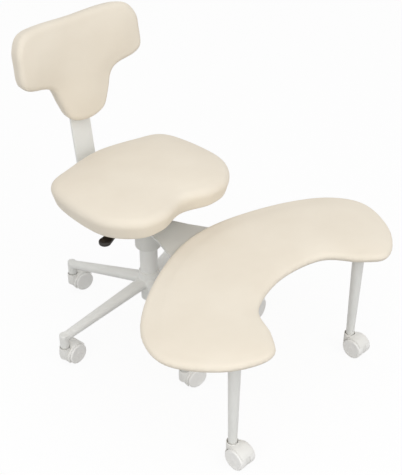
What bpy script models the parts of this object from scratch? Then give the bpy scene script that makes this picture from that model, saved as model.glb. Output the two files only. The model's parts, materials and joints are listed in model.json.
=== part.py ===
"""Cross-legged office chair: a swivel seat with a T-shaped back on a five-armed base,
and a crescent footrest that swings round the same column on two legs of its own.

Metres, +Z up. The chair faces -Y and the sitter's left is +X.
"""

import math

import bmesh
import bpy
from mathutils import Matrix, Vector

# Clearances
GAP = 0.0003
WHEEL_SIDE_GAP = 0.0005
WHEEL_RIM_GAP = 0.0012

# The origin lies on the floor, this far in front of the column
ORIGIN_AHEAD = 0.144

# Rest pose: the turn of each swivel about the vertical, in degrees
SEAT_TURN = -5.5
BASE_TURN = 96.4
BASE_CASTER_TURNS = (-12.0, 0.0, -14.0, 10.0, 5.0)
FOOT_CASTER_TURN = -96.0

# Casters
WHEEL_RADIUS = 0.0288
WHEEL_WIDTH = 0.018
WHEEL_CHAMFER = 0.004
WHEEL_COVER = 0.002
CASTER_TRAIL = 0.0258
CASTER_HEIGHT = 0.060
HOOD_WEB = 0.013
HOOD_WEB_INSIDE_TREAD = 0.0028
HOOD_WEB_ABOVE_FLOOR = 0.010
HOOD_WIDTH = 0.041
HOOD_SHELL = 0.0025
HOOD_TILT = 30.0
HOOD_BOSS_RADIUS = 0.0158
HOOD_BOSS_BELOW_AXLE = 0.003
STUB_RADIUS = 0.004
STEM_RADIUS = 0.005
STEM_CHAMFER = 0.001
STEM_IN_HOOD = 0.0155
STEM_IN_LEG = 0.035

# Base
BASE_ARMS = 5
BASE_RADIUS = 0.2874
HUB_WALL = 0.0047
HUB_BOTTOM = 0.1285
HUB_HEIGHT = 0.060
HUB_CHAMFER = 0.002
ARM_ROOT_RADIUS = 0.0195
ARM_END_RADIUS = 0.0132
ARM_FLATNESS = 0.91
SOCKET_RADIUS = 0.0128
SOCKET_HEIGHT = 0.044

# Column
COLUMN_RADIUS = 0.025
COLUMN_WALL = 0.0025
COLUMN_BELOW_HUB = 0.033
COLUMN_BELOW_PLATE = 0.008
COLUMN_FLOOR = 0.004
GUIDE_LENGTH = 0.055
GUIDE_LIP = 0.002

# Gas spring
CYLINDER_RADIUS = 0.014
CYLINDER_TIP_RADIUS = 0.0132
CYLINDER_LENGTH = 0.214
ROD_RADIUS = 0.005
ROD_IN_CYLINDER = 0.145
ROD_HEADROOM = 0.019
ROD_TAIL = 0.009
FLANGE_RADIUS = 0.016
FLANGE_THICKNESS = 0.003
BEARING_RIM = 0.002
BEARING_THICKNESS = 0.006
CLIP_RIM = 0.005
CLIP_THICKNESS = 0.002
PIN_RADIUS = 0.0025
PIN_LENGTH = 0.022
PIN_TRAVEL = 0.003

# Swing arm
COLLAR_BUSH_WALL = 0.0034
COLLAR_BUSH_LENGTH = 0.020
COLLAR_WALL = 0.0072
COLLAR_HEIGHT = 0.079
COLLAR_CHAMFER = 0.002
RING_HEIGHT = 0.006
PLATE_THICKNESS = 0.008
PLATE_HALF = (
    (0.034, -0.024),
    (0.058, -0.096),
    (0.080, -0.148),
    (0.100, -0.200),
    (0.100, -0.290),
    (0.080, -0.310),
)

# Footrest: half outline from the middle of its rear edge to the middle of its notch, and the
# line its crown runs along, both across in shares of half its width
FOOT_WIDTH = 0.832
FOOT_BOTTOM = 0.3515
FOOT_THICKNESS = 0.034
FOOT_CROWN = 0.005
FOOT_EDGE_TOP = 0.012
FOOT_EDGE_LOW = 0.012
FOOT_DRAWN_IN = 0.004
FOOT_HALF = (
    (0.000, -0.160),
    (0.317, -0.183),
    (0.680, -0.249),
    (0.926, -0.331),
    (1.000, -0.430),
    (0.841, -0.543),
    (0.601, -0.598),
    (0.454, -0.554),
    (0.317, -0.475),
    (0.000, -0.445),
)
FOOT_SPINE = (
    (-0.630, -0.520),
    (-0.565, -0.420),
    (-0.337, -0.345),
    (0.000, -0.310),
    (0.337, -0.345),
    (0.565, -0.420),
    (0.630, -0.520),
)
FOOT_LEG_IN = 0.1530
FOOT_LEG_Y = -0.5050
FOOT_LEG_TOP_RADIUS = 0.0164
FOOT_LEG_END_RADIUS = 0.0114
FOOT_LEG_WALL = 0.003
FOOT_LEG_WEB = 0.006
FOOT_LEG_FLANGE_RADIUS = 0.034
FOOT_LEG_FLANGE_THICKNESS = 0.004

# Seat: half outline from the middle of its rear edge to the middle of its front notch, and the
# line its crown runs along, both across in shares of half its width
SEAT_WIDTH = 0.444
SEAT_ABOVE_FOOTREST = 0.0425
SEAT_THICKNESS = 0.076
SEAT_CROWN = 0.010
SEAT_EDGE_TOP = 0.016
SEAT_EDGE_LOW = 0.014
SEAT_DRAWN_IN = 0.008
SEAT_HALF = (
    (0.000, 0.206),
    (0.541, 0.184),
    (0.878, 0.154),
    (1.000, 0.070),
    (0.986, -0.070),
    (0.716, -0.151),
    (0.374, -0.167),
    (0.000, -0.143),
)
SEAT_SPINE = (
    (-0.409, 0.020),
    (0.409, 0.020),
)

# Boards inside the pads
BOARD_THICKNESS = 0.012
BOARD_INSET = 0.025

# Backrest: half outline from the middle of its top edge to the bottom of its stem, and the
# lines its crown runs along, both across in shares of half its width
BACK_WIDTH = 0.397
BACK_ABOVE_SEAT_BOTTOM = 0.151
BACK_BEHIND_COLUMN = 0.263
BACK_LEAN = 7.25
BACK_BOW = 0.019
BACK_BOARD_SHARE = 0.6
BACK_THICKNESS = 0.054
BACK_CROWN = 0.005
BACK_EDGE_FRONT = 0.010
BACK_EDGE_REAR = 0.010
BACK_DRAWN_IN = 0.004
BACK_HALF = (
    (0.000, 0.276),
    (0.509, 0.278),
    (0.831, 0.270),
    (0.977, 0.235),
    (0.998, 0.193),
    (0.992, 0.146),
    (0.866, 0.125),
    (0.600, 0.113),
    (0.474, 0.095),
    (0.388, 0.048),
    (0.272, 0.006),
    (0.000, -0.009),
)
BACK_SPINE = (
    (-0.644, 0.200),
    (0.000, 0.200),
    (0.000, 0.080),
    (0.000, 0.200),
    (0.644, 0.200),
)
BAR_WIDTH = 0.064
BAR_THICKNESS = 0.008
BAR_BEND = 0.020
BAR_UNDER_PLATE = 0.040
BAR_BEHIND_BACK = 0.200

# Seat mechanism and lever
MECHANISM_WIDTH = 0.200
MECHANISM_DEPTH = 0.200
MECHANISM_THICKNESS = 0.005
HOUSING_SIZE = 0.110
HOUSING_HEIGHT = 0.044
TAPER_WALL = 0.007
TAPER_ABOVE_PLATE = 0.009
TAPER_ROOF = 0.0055
LEVER_BELOW_SEAT = 0.0192
LEVER_TURN = 198.0
LEVER_ARM = 0.040
LEVER_PAST_PIN = 0.008
LEVER_ROD_RADIUS = 0.004
LEVER_REACH = 0.210
LEVER_DROP = 0.004
PIVOT_RADIUS = 0.0018
PIVOT_IN_WALL = 0.010
SLOT_SIDE = 0.003
ROD_IN_PADDLE = 0.045
PADDLE_LENGTH = 0.060
PADDLE_WIDTH = 0.032
PADDLE_THICKNESS = 0.0116

# Facets
WHEEL_SIDES = 20
HOOD_SIDES = 16
ROUND_SIDES = 24
ARM_SIDES = 16
SMALL_SIDES = 12
EDGE_STEPS = 3
BEND_STEPS = 6
OUTLINE_STEPS = 3
BACK_OUTLINE_STEPS = 2
CROWN_SHARES = (0.3, 0.6, 0.85)
EDGE_SWEEP = math.radians(78.0)

# Sizes that follow from the ones above, from the floor up
WHEEL_INNER = HOOD_WEB / 2 + WHEEL_SIDE_GAP
WHEEL_OUTER = WHEEL_INNER + WHEEL_WIDTH
WELL_RADIUS = WHEEL_RADIUS + WHEEL_RIM_GAP
HOOD_TOP = CASTER_HEIGHT - GAP
STEM_BORE = STEM_RADIUS + GAP
HUB_BORE = COLUMN_RADIUS + GAP
HUB_RADIUS = HUB_BORE + HUB_WALL
HUB_TOP = HUB_BOTTOM + HUB_HEIGHT
ARM_ROOT_Z = HUB_BOTTOM + HUB_HEIGHT / 2
COLUMN_BOTTOM = HUB_BOTTOM - COLUMN_BELOW_HUB
COLUMN_BORE = COLUMN_RADIUS - COLUMN_WALL
PLATE_TOP = FOOT_BOTTOM - GAP
COLUMN_TOP = PLATE_TOP - COLUMN_BELOW_PLATE
COLLAR_BOTTOM = PLATE_TOP - COLLAR_HEIGHT
COLLAR_BORE = COLUMN_RADIUS + COLLAR_BUSH_WALL + 2 * GAP
COLLAR_RADIUS = COLLAR_BORE + COLLAR_WALL
FOOT_TOP = FOOT_BOTTOM + FOOT_THICKNESS
SEAT_BOTTOM = FOOT_TOP + SEAT_ABOVE_FOOTREST
MECHANISM_TOP = SEAT_BOTTOM - GAP
MECHANISM_BOTTOM = MECHANISM_TOP - MECHANISM_THICKNESS
LEVER_Z = SEAT_BOTTOM - LEVER_BELOW_SEAT
SLOT_BOTTOM = LEVER_Z - LEVER_ROD_RADIUS - LEVER_DROP
SLOT_TOP = LEVER_Z + LEVER_ROD_RADIUS + LEVER_DROP
SLOT_WIDTH = 2 * (LEVER_ROD_RADIUS + SLOT_SIDE)
PIN_TOP = LEVER_Z - LEVER_ROD_RADIUS - GAP
CYLINDER_TOP = SLOT_BOTTOM - TAPER_ROOF
CYLINDER_BOTTOM = CYLINDER_TOP - CYLINDER_LENGTH
TAPER_BOTTOM = PLATE_TOP + TAPER_ABOVE_PLATE
ROD_TOP = CYLINDER_BOTTOM + ROD_IN_CYLINDER
ROD_BORE = ROD_RADIUS + GAP
BEARING_BOTTOM = COLUMN_BOTTOM + COLUMN_FLOOR + GAP
FLANGE_BOTTOM = BEARING_BOTTOM + BEARING_THICKNESS + GAP
PADDLE_START = LEVER_REACH - ROD_IN_PADDLE
PADDLE_END = PADDLE_START + PADDLE_LENGTH
FOOT_LEG_X = FOOT_WIDTH / 2 - FOOT_LEG_IN
BACK_FOOT = (0.0, BACK_BEHIND_COLUMN, SEAT_BOTTOM + BACK_ABOVE_SEAT_BOTTOM)

# Colour, roughness and metallic value of each material
FINISHES = {
    "upholstery": ((0.82, 0.75, 0.64, 1.0), 0.55, 0.0),
    "plywood": ((0.55, 0.40, 0.24, 1.0), 0.70, 0.0),
    "white_paint": ((0.80, 0.80, 0.78, 1.0), 0.40, 0.0),
    "steel": ((0.50, 0.50, 0.50, 1.0), 0.35, 1.0),
    "white_plastic": ((0.78, 0.78, 0.76, 1.0), 0.50, 0.0),
    "black_plastic": ((0.025, 0.023, 0.020, 1.0), 0.50, 0.0),
    "bush_plastic": ((0.10, 0.10, 0.10, 1.0), 0.60, 0.0),
}


def clear_scene():
    """Start from an empty scene."""
    for old in list(bpy.data.objects):
        bpy.data.objects.remove(old, do_unlink=True)


def make_collection(name):
    """Return a new collection linked to the scene."""
    collection = bpy.data.collections.new(name)
    bpy.context.scene.collection.children.link(collection)
    return collection


def make_material(name):
    """One Principled material from the table of finishes."""
    colour, roughness, metallic = FINISHES[name]
    material = bpy.data.materials.new(name)
    material.use_nodes = True
    shader = material.node_tree.nodes["Principled BSDF"]
    shader.inputs["Base Color"].default_value = colour
    shader.inputs["Roughness"].default_value = roughness
    shader.inputs["Metallic"].default_value = metallic
    material.diffuse_color = colour
    return material


clear_scene()
PARTS = make_collection("cross_legged_office_chair")
CUTTERS = make_collection("cutters")
MATERIALS = {name: make_material(name) for name in FINISHES}


def frame(name, parent=None, location=(0.0, 0.0, 0.0), turn=0.0):
    """An empty that pieces are parented to, turned about Z by a number of degrees."""
    holder = bpy.data.objects.new(name, None)
    holder.empty_display_size = 0.05
    holder.parent = parent
    holder.location = location
    holder.rotation_euler = (0.0, 0.0, math.radians(turn))
    PARTS.objects.link(holder)
    return holder


def place(name, mesh, material, parent, location=(0.0, 0.0, 0.0), rotation=(0.0, 0.0, 0.0)):
    """Put a mesh in the part as a named piece."""
    piece = bpy.data.objects.new(name, mesh)
    piece.parent = parent
    piece.location = location
    piece.rotation_euler = rotation
    if not mesh.materials:
        mesh.materials.append(MATERIALS[material])
    PARTS.objects.link(piece)
    return piece


def baked(source, name):
    """The evaluated mesh of an object where it stands; the object itself is removed."""
    bpy.context.view_layer.update()
    graph = bpy.context.evaluated_depsgraph_get()
    mesh = bpy.data.meshes.new_from_object(source.evaluated_get(graph), depsgraph=graph)
    mesh.name = name
    mesh.transform(source.matrix_world)
    bpy.data.objects.remove(source, do_unlink=True)
    return mesh


def smooth(mesh):
    """Shade a round piece smooth, with its real edges kept sharp."""
    mesh.shade_smooth()
    mesh.set_sharp_from_angle(angle=math.radians(40.0))
    return mesh


def turned(name, profile, sides, half_step=False):
    """A shape turned about Z from (radius, height) points that run down its outer side.

    A profile that starts off the axis is closed into a ring.
    """
    start = math.pi / sides if half_step else 0.0
    mesh = bpy.data.meshes.new(name)
    points = [(r * math.cos(start), r * math.sin(start), z) for r, z in profile]
    edges = [(i, i + 1) for i in range(len(points) - 1)]
    if profile[0][0] > 0.0:
        edges.append((len(points) - 1, 0))
    mesh.from_pydata(points, edges, [])
    piece = bpy.data.objects.new(name, mesh)
    PARTS.objects.link(piece)
    screw = piece.modifiers.new("Turn", "SCREW")
    screw.steps = sides
    screw.render_steps = sides
    screw.use_merge_vertices = True
    screw.merge_threshold = 0.00001
    return smooth(baked(piece, name))


def ring(name, outer, inner, bottom, top, sides=ROUND_SIDES):
    """A plain turned ring."""
    return turned(name, [(outer, top), (outer, bottom), (inner, bottom), (inner, top)], sides)


def cylinder(name, radius, length, sides, end_radius=None):
    """A cylinder or cone along Z from 0 to its length, as a primitive."""
    mesh = bpy.data.meshes.new(name)
    work = bmesh.new()
    bmesh.ops.create_cone(
        work,
        cap_ends=True,
        segments=sides,
        radius1=radius,
        radius2=radius if end_radius is None else end_radius,
        depth=length,
    )
    bmesh.ops.translate(work, verts=work.verts, vec=(0.0, 0.0, length / 2))
    work.to_mesh(mesh)
    work.free()
    return mesh


def box(name, low, high):
    """A box between two corners."""
    mesh = bpy.data.meshes.new(name)
    work = bmesh.new()
    bmesh.ops.create_cube(work, size=1.0)
    bmesh.ops.scale(work, verts=work.verts, vec=Vector(high) - Vector(low))
    bmesh.ops.translate(work, verts=work.verts, vec=(Vector(high) + Vector(low)) / 2)
    work.to_mesh(mesh)
    work.free()
    return mesh


def tool(mesh, location=(0.0, 0.0, 0.0), rotation=(0.0, 0.0, 0.0)):
    """A shape that is cut from a piece or joined to it, kept out of the part itself."""
    shape = bpy.data.objects.new(mesh.name, mesh)
    shape.location = location
    shape.rotation_euler = rotation
    shape.hide_render = True
    shape.display_type = "WIRE"
    CUTTERS.objects.link(shape)
    return shape


def combine(name, start, steps):
    """Join tools to a first shape or cut them from it, in order, and return the mesh."""
    for operation, shape in steps:
        change = start.modifiers.new(shape.name, "BOOLEAN")
        change.operation = operation
        change.solver = "EXACT"
        change.object = shape
    return smooth(baked(start, name))


def flat_shape(name, points, thickness):
    """A flat outline in XY, thickened evenly above and below its plane."""
    curve = bpy.data.curves.new(name, "CURVE")
    curve.dimensions = "2D"
    curve.fill_mode = "BOTH"
    curve.extrude = thickness / 2
    spline = curve.splines.new("POLY")
    spline.points.add(len(points) - 1)
    for knot, (x, y) in zip(spline.points, points):
        knot.co = (x, y, 0.0, 1.0)
    spline.use_cyclic_u = True
    piece = bpy.data.objects.new(name, curve)
    PARTS.objects.link(piece)
    mesh = baked(piece, name)
    work = bmesh.new()
    work.from_mesh(mesh)
    bmesh.ops.remove_doubles(work, verts=work.verts, dist=0.00001)
    work.to_mesh(mesh)
    work.free()
    return mesh


def widened(points, width):
    """Points written across in shares of half a width."""
    return [Vector((x * width / 2, y)) for x, y in points]


def smooth_outline(half, steps):
    """A closed curve through a half outline and its mirror image, in even steps."""
    knots = list(half)
    knots += [Vector((-x, y)) for x, y in reversed(half[1:-1])]
    count = len(knots)
    points = []
    for i in range(count):
        before, here, after, beyond = (knots[(i + k) % count] for k in (-1, 0, 1, 2))
        for step in range(steps):
            t = step / steps
            line = 2 * here + (after - before) * t
            bend = (2 * before - 5 * here + 4 * after - beyond) * t * t
            twist = (3 * here - before - 3 * after + beyond) * t * t * t
            points.append((line + bend + twist) / 2)
    return points


def inward(points, distance):
    """Move a closed outline in by a distance, square to its edge."""
    count = len(points)
    area = sum(points[i - 1].cross(points[i]) for i in range(count))
    side = math.copysign(1.0, area)
    moved = []
    for i in range(count):
        along = points[(i + 1) % count] - points[i - 1]
        normal = Vector((-along.y, along.x)).normalized() * side
        moved.append(points[i] + normal * distance)
    return moved


def nearest_on_spine(point, spine):
    """The nearest point of a line of segments."""
    found = []
    for first, second in zip(spine, spine[1:]):
        run = second - first
        share = max(0.0, min(1.0, (point - first).dot(run) / run.dot(run)))
        found.append(first + run * share)
    return min(found, key=lambda there: (there - point).length)


def at_height(points, height, bow=0.0):
    """Lift a flat outline to a height, its sides bowed up towards the outline's ends in X."""
    reach = max(p.x for p in points)
    return [Vector((p.x, p.y, height + bow * (p.x / reach) ** 2)) for p in points]


def loft(name, levels):
    """A closed solid through outlines of equal count."""
    mesh = bpy.data.meshes.new(name)
    work = bmesh.new()
    rows = [[work.verts.new(p) for p in points] for points in levels]
    count = len(rows[0])
    for low, high in zip(rows, rows[1:]):
        for i in range(count):
            work.faces.new((low[i - 1], low[i], high[i], high[i - 1]))
    work.faces.new(list(reversed(rows[0])))
    work.faces.new(rows[-1])
    if work.calc_volume(signed=True) < 0.0:
        bmesh.ops.reverse_faces(work, faces=list(work.faces))
    work.to_mesh(mesh)
    work.free()
    return mesh


def board_outline(outline, share=1.0):
    """The outline of the board inside a pad, narrowed across by a share."""
    return [Vector((p.x * share, p.y)) for p in inward(outline, BOARD_INSET)]


def pad_mesh(name, outline, board, spine, thickness, crown, edge_top, edge_low, drawn_in, bow=0.0):
    """An upholstered pad, face up: a pocket for its board, sides drawn in below and a crown."""
    reach = max(p.x for p in outline)
    pocket = inward(board, -GAP)
    levels = [at_height(pocket, BOARD_THICKNESS + GAP), at_height(pocket, 0.0)]

    def add_level(points, height):
        """A level of the pad, bowed by how far its points reach across."""
        here = max(p.x for p in points) / reach
        levels.append(at_height(points, height, bow * here * here))

    for step in range(EDGE_STEPS + 1):
        angle = math.pi / 2 * step / EDGE_STEPS
        inset = drawn_in + edge_low * (1.0 - math.sin(angle))
        add_level(inward(outline, inset), edge_low * (1.0 - math.cos(angle)))
    shoulder = thickness - crown
    for step in range(EDGE_STEPS + 1):
        angle = EDGE_SWEEP * step / EDGE_STEPS
        inset = edge_top * (1.0 - math.cos(angle))
        edge_height = shoulder - edge_top * (1.0 - math.sin(angle))
        edge = inward(outline, inset)
        add_level(edge, edge_height)
    targets = [nearest_on_spine(point, spine) for point in edge]
    for share in CROWN_SHARES:
        points = [p.lerp(there, share) for p, there in zip(edge, targets)]
        rise = 1.0 - (1.0 - share) ** 2
        add_level(points, edge_height + (thickness - edge_height) * rise)
    return smooth(loft(name, levels))


def board_mesh(name, board):
    """The flat board that fills a pad's pocket."""
    return loft(name, [at_height(board, 0.0), at_height(board, BOARD_THICKNESS)])


def hood_mesh():
    """Caster hood: boss, mudguard low in front, middle web and axle stubs, trailing along +X."""
    half_width = HOOD_WIDTH / 2
    half_web = HOOD_WEB / 2
    far = WHEEL_OUTER + CASTER_HEIGHT
    facet = math.cos(math.pi / HOOD_SIDES)

    def across(name, radius, low, high, sides):
        """A cylinder about the axle, between two distances along it."""
        place_at = (CASTER_TRAIL, low, WHEEL_RADIUS)
        return tool(cylinder(name, radius, high - low, sides), place_at, (math.radians(-90.0), 0.0, 0.0))

    guard = across("guard", (WELL_RADIUS + HOOD_SHELL) / facet, -half_width, half_width, HOOD_SIDES)
    below_lip = box("below_lip", (-far, -far, -far), (far, far, 0.0))
    axle = (CASTER_TRAIL, 0.0, WHEEL_RADIUS)
    tilt = (0.0, math.radians(-HOOD_TILT), 0.0)
    boss_bottom = WHEEL_RADIUS - HOOD_BOSS_BELOW_AXLE
    boss = cylinder("boss", HOOD_BOSS_RADIUS, HOOD_TOP - boss_bottom, HOOD_SIDES)
    web = across("web", WHEEL_RADIUS - HOOD_WEB_INSIDE_TREAD, -half_web, half_web, HOOD_SIDES)
    near_floor = box("near_floor", (-far, -far, -far), (far, far, HOOD_WEB_ABOVE_FLOOR))
    stub_end = WHEEL_OUTER - WHEEL_COVER - GAP
    bore_bottom = HOOD_TOP - STEM_IN_HOOD - GAP
    steps = [
        ("DIFFERENCE", tool(below_lip, axle, tilt)),
        ("UNION", tool(boss, (0.0, 0.0, boss_bottom))),
        ("UNION", web),
        ("DIFFERENCE", tool(near_floor)),
        ("DIFFERENCE", across("well_left", WELL_RADIUS / facet, half_web, far, HOOD_SIDES)),
        ("DIFFERENCE", across("well_right", WELL_RADIUS / facet, -far, -half_web, HOOD_SIDES)),
        ("UNION", across("stubs", STUB_RADIUS, -stub_end, stub_end, SMALL_SIDES)),
        ("DIFFERENCE", tool(cylinder("stem_hole", STEM_BORE, far, SMALL_SIDES), (0.0, 0.0, bore_bottom))),
    ]
    return combine("caster_hood", guard, steps)


def wheel_mesh():
    """One caster wheel about Z: a closed disc outside and a blind bore for its stub inside."""
    facet = math.cos(math.pi / WHEEL_SIDES)
    rim = WHEEL_RADIUS / facet
    bore = (STUB_RADIUS + GAP) / facet
    profile = [
        (0.0, WHEEL_OUTER),
        (rim - WHEEL_CHAMFER, WHEEL_OUTER),
        (rim, WHEEL_OUTER - WHEEL_CHAMFER),
        (rim, WHEEL_INNER),
        (bore, WHEEL_INNER),
        (bore, WHEEL_OUTER - WHEEL_COVER),
        (0.0, WHEEL_OUTER - WHEEL_COVER),
    ]
    return turned("caster_wheel", profile, WHEEL_SIDES, half_step=True)


def stem_mesh():
    """Caster stem, from inside the hood up into the leg."""
    bottom = HOOD_TOP - STEM_IN_HOOD
    top = CASTER_HEIGHT + STEM_IN_LEG - GAP
    profile = [
        (0.0, top),
        (STEM_RADIUS - STEM_CHAMFER, top),
        (STEM_RADIUS, top - STEM_CHAMFER),
        (STEM_RADIUS, bottom),
        (0.0, bottom),
    ]
    return turned("caster_stem", profile, SMALL_SIDES)


def add_caster(name, parent, location, turn, meshes):
    """A twin-wheel caster: its stem stays with the leg, its hood swivels, its wheels roll."""
    stem, hood, wheel = meshes
    place(name + "_stem", stem, "steel", parent, location)
    swivel = frame(name + "_swivel", parent, location, turn)
    place(name + "_hood", hood, "white_plastic", swivel)
    axle = (CASTER_TRAIL, 0.0, WHEEL_RADIUS)
    quarter = math.radians(90.0)
    place(name + "_wheel_left", wheel, "white_plastic", swivel, axle, (-quarter, 0.0, 0.0))
    place(name + "_wheel_right", wheel, "white_plastic", swivel, axle, (quarter, 0.0, 0.0))


def arm_mesh():
    """One arm of the base along +X: a tapered oval tube that ends in a caster socket."""
    end_z = CASTER_HEIGHT + SOCKET_HEIGHT - ARM_END_RADIUS * ARM_FLATNESS
    run = Vector((BASE_RADIUS, 0.0, end_z - ARM_ROOT_Z))
    tilt = math.atan2(run.x, run.z)
    cone = cylinder("arm_tube", ARM_ROOT_RADIUS, run.length, ARM_SIDES, ARM_END_RADIUS)
    cone.transform(Matrix.Diagonal((ARM_FLATNESS, 1.0, 1.0, 1.0)))
    arm = tool(cone, (0.0, 0.0, ARM_ROOT_Z), (0.0, tilt, 0.0))
    socket = cylinder("caster_socket", SOCKET_RADIUS, SOCKET_HEIGHT, ARM_SIDES)
    stem_hole = cylinder("socket_bore", STEM_BORE, CASTER_HEIGHT + STEM_IN_LEG, SMALL_SIDES)
    facet = math.cos(math.pi / ROUND_SIDES)
    round_hub = cylinder("round_hub", (HUB_RADIUS + GAP) / facet, 2 * HUB_TOP, ROUND_SIDES)
    share = math.pi / BASE_ARMS
    far = 2 * BASE_RADIUS
    next_arm = box("next_arm", (-far, -GAP / 2, -far), (far, far, far))
    last_arm = box("last_arm", (-far, -far, -far), (far, GAP / 2, far))
    steps = [
        ("UNION", tool(socket, (BASE_RADIUS, 0.0, CASTER_HEIGHT))),
        ("DIFFERENCE", tool(round_hub)),
        ("DIFFERENCE", tool(next_arm, rotation=(0.0, 0.0, share))),
        ("DIFFERENCE", tool(last_arm, rotation=(0.0, 0.0, -share))),
        ("DIFFERENCE", tool(stem_hole, (BASE_RADIUS, 0.0, 0.0))),
    ]
    return combine("base_arm", arm, steps)


def build_base(base, casters):
    """Hub, arms and their casters."""
    profile = [
        (HUB_RADIUS - HUB_CHAMFER, HUB_TOP),
        (HUB_RADIUS, HUB_TOP - HUB_CHAMFER),
        (HUB_RADIUS, HUB_BOTTOM),
        (HUB_BORE, HUB_BOTTOM),
        (HUB_BORE, HUB_TOP),
    ]
    place("base_hub", turned("base_hub", profile, ROUND_SIDES), "white_paint", base)
    arm = arm_mesh()
    for index in range(BASE_ARMS):
        angle = math.tau / BASE_ARMS * index
        number = index + 1
        place("base_arm_%d" % number, arm, "white_paint", base, rotation=(0.0, 0.0, angle))
        spot = (BASE_RADIUS * math.cos(angle), BASE_RADIUS * math.sin(angle), 0.0)
        turn = BASE_CASTER_TURNS[index % len(BASE_CASTER_TURNS)] - BASE_TURN
        add_caster("base_caster_%d" % number, base, spot, turn, casters)


def build_column(base):
    """Column tube with the guide, the bearing and the ring that carries the swing arm."""
    tube = [
        (COLUMN_RADIUS, COLUMN_TOP),
        (COLUMN_RADIUS, COLUMN_BOTTOM),
        (ROD_BORE, COLUMN_BOTTOM),
        (ROD_BORE, COLUMN_BOTTOM + COLUMN_FLOOR),
        (COLUMN_BORE, COLUMN_BOTTOM + COLUMN_FLOOR),
        (COLUMN_BORE, COLUMN_TOP),
    ]
    place("column_tube", turned("column_tube", tube, ROUND_SIDES), "white_paint", base)
    lip_bottom = COLUMN_TOP + GAP
    guide = [
        (COLUMN_RADIUS, lip_bottom + GUIDE_LIP),
        (COLUMN_RADIUS, lip_bottom),
        (COLUMN_BORE - GAP, lip_bottom),
        (COLUMN_BORE - GAP, COLUMN_TOP - GUIDE_LENGTH),
        (CYLINDER_RADIUS + GAP, COLUMN_TOP - GUIDE_LENGTH),
        (CYLINDER_RADIUS + GAP, lip_bottom + GUIDE_LIP),
    ]
    place("guide_bush", turned("guide_bush", guide, ROUND_SIDES), "bush_plastic", base)
    bearing_top = BEARING_BOTTOM + BEARING_THICKNESS
    outer = FLANGE_RADIUS + BEARING_RIM
    bearing = ring("thrust_bearing", outer, ROD_BORE, BEARING_BOTTOM, bearing_top, ARM_SIDES)
    place("thrust_bearing", bearing, "steel", base)
    ring_top = COLLAR_BOTTOM - GAP
    carrier = ring("support_ring", COLLAR_BORE, HUB_BORE, ring_top - RING_HEIGHT, ring_top)
    place("support_ring", carrier, "steel", base)


def build_gas_spring(seat):
    """Piston rod on the bearing, its clip, the cylinder that rises on it, and the release pin."""
    flange_top = FLANGE_BOTTOM + FLANGE_THICKNESS
    rod = [
        (0.0, ROD_TOP),
        (ROD_RADIUS, ROD_TOP),
        (ROD_RADIUS, flange_top),
        (FLANGE_RADIUS, flange_top),
        (FLANGE_RADIUS, FLANGE_BOTTOM),
        (ROD_RADIUS, FLANGE_BOTTOM),
        (ROD_RADIUS, COLUMN_BOTTOM - ROD_TAIL),
        (0.0, COLUMN_BOTTOM - ROD_TAIL),
    ]
    place("piston_rod", turned("piston_rod", rod, SMALL_SIDES), "steel", seat)
    clip_top = COLUMN_BOTTOM - GAP
    clip_bottom = clip_top - CLIP_THICKNESS
    clip = ring("retaining_clip", ROD_BORE + CLIP_RIM, ROD_BORE, clip_bottom, clip_top, SMALL_SIDES)
    place("retaining_clip", clip, "steel", seat)
    pin_hole = PIN_RADIUS + GAP
    pin_hole_bottom = PIN_TOP - PIN_LENGTH - PIN_TRAVEL - GAP
    bore_top = ROD_TOP + ROD_HEADROOM
    spring = [
        (0.0, pin_hole_bottom),
        (pin_hole, pin_hole_bottom),
        (pin_hole, CYLINDER_TOP),
        (CYLINDER_TIP_RADIUS, CYLINDER_TOP),
        (CYLINDER_RADIUS, TAPER_BOTTOM),
        (CYLINDER_RADIUS, CYLINDER_BOTTOM),
        (ROD_BORE, CYLINDER_BOTTOM),
        (ROD_BORE, bore_top),
        (0.0, bore_top),
    ]
    place("gas_cylinder", turned("gas_cylinder", spring, ROUND_SIDES), "steel", seat)
    pin = cylinder("release_pin", PIN_RADIUS, PIN_LENGTH, SMALL_SIDES)
    place("release_pin", smooth(pin), "steel", seat, (0.0, 0.0, PIN_TOP - PIN_LENGTH))


def build_swing_arm(foot):
    """Collar, its two bushes and the flared plate that carries the footrest."""
    collar = [
        (COLLAR_RADIUS, PLATE_TOP),
        (COLLAR_RADIUS, COLLAR_BOTTOM + COLLAR_CHAMFER),
        (COLLAR_RADIUS - COLLAR_CHAMFER, COLLAR_BOTTOM),
        (COLLAR_BORE, COLLAR_BOTTOM),
        (COLLAR_BORE, PLATE_TOP),
    ]
    place("swing_collar", turned("swing_collar", collar, ROUND_SIDES), "white_paint", foot)
    outer = COLLAR_BORE - GAP
    lower_top = COLLAR_BOTTOM + COLLAR_BUSH_LENGTH
    lower = ring("collar_bush_lower", outer, HUB_BORE, COLLAR_BOTTOM, lower_top)
    upper = ring("collar_bush_upper", outer, HUB_BORE, COLUMN_TOP - COLLAR_BUSH_LENGTH, COLUMN_TOP)
    place("collar_bush_lower", lower, "bush_plastic", foot)
    place("collar_bush_upper", upper, "bush_plastic", foot)
    outline = list(PLATE_HALF) + [(-x, y) for x, y in reversed(PLATE_HALF)]
    blank = flat_shape("plate_blank", outline, PLATE_THICKNESS)
    flat = tool(blank, (0.0, 0.0, PLATE_TOP - PLATE_THICKNESS / 2))
    facet = math.cos(math.pi / ROUND_SIDES)
    round_collar = cylinder("round_collar", (COLLAR_RADIUS + GAP) / facet, 2 * PLATE_TOP, ROUND_SIDES)
    plate = combine("arm_plate", flat, [("DIFFERENCE", tool(round_collar))])
    place("arm_plate", plate, "white_paint", foot)


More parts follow.
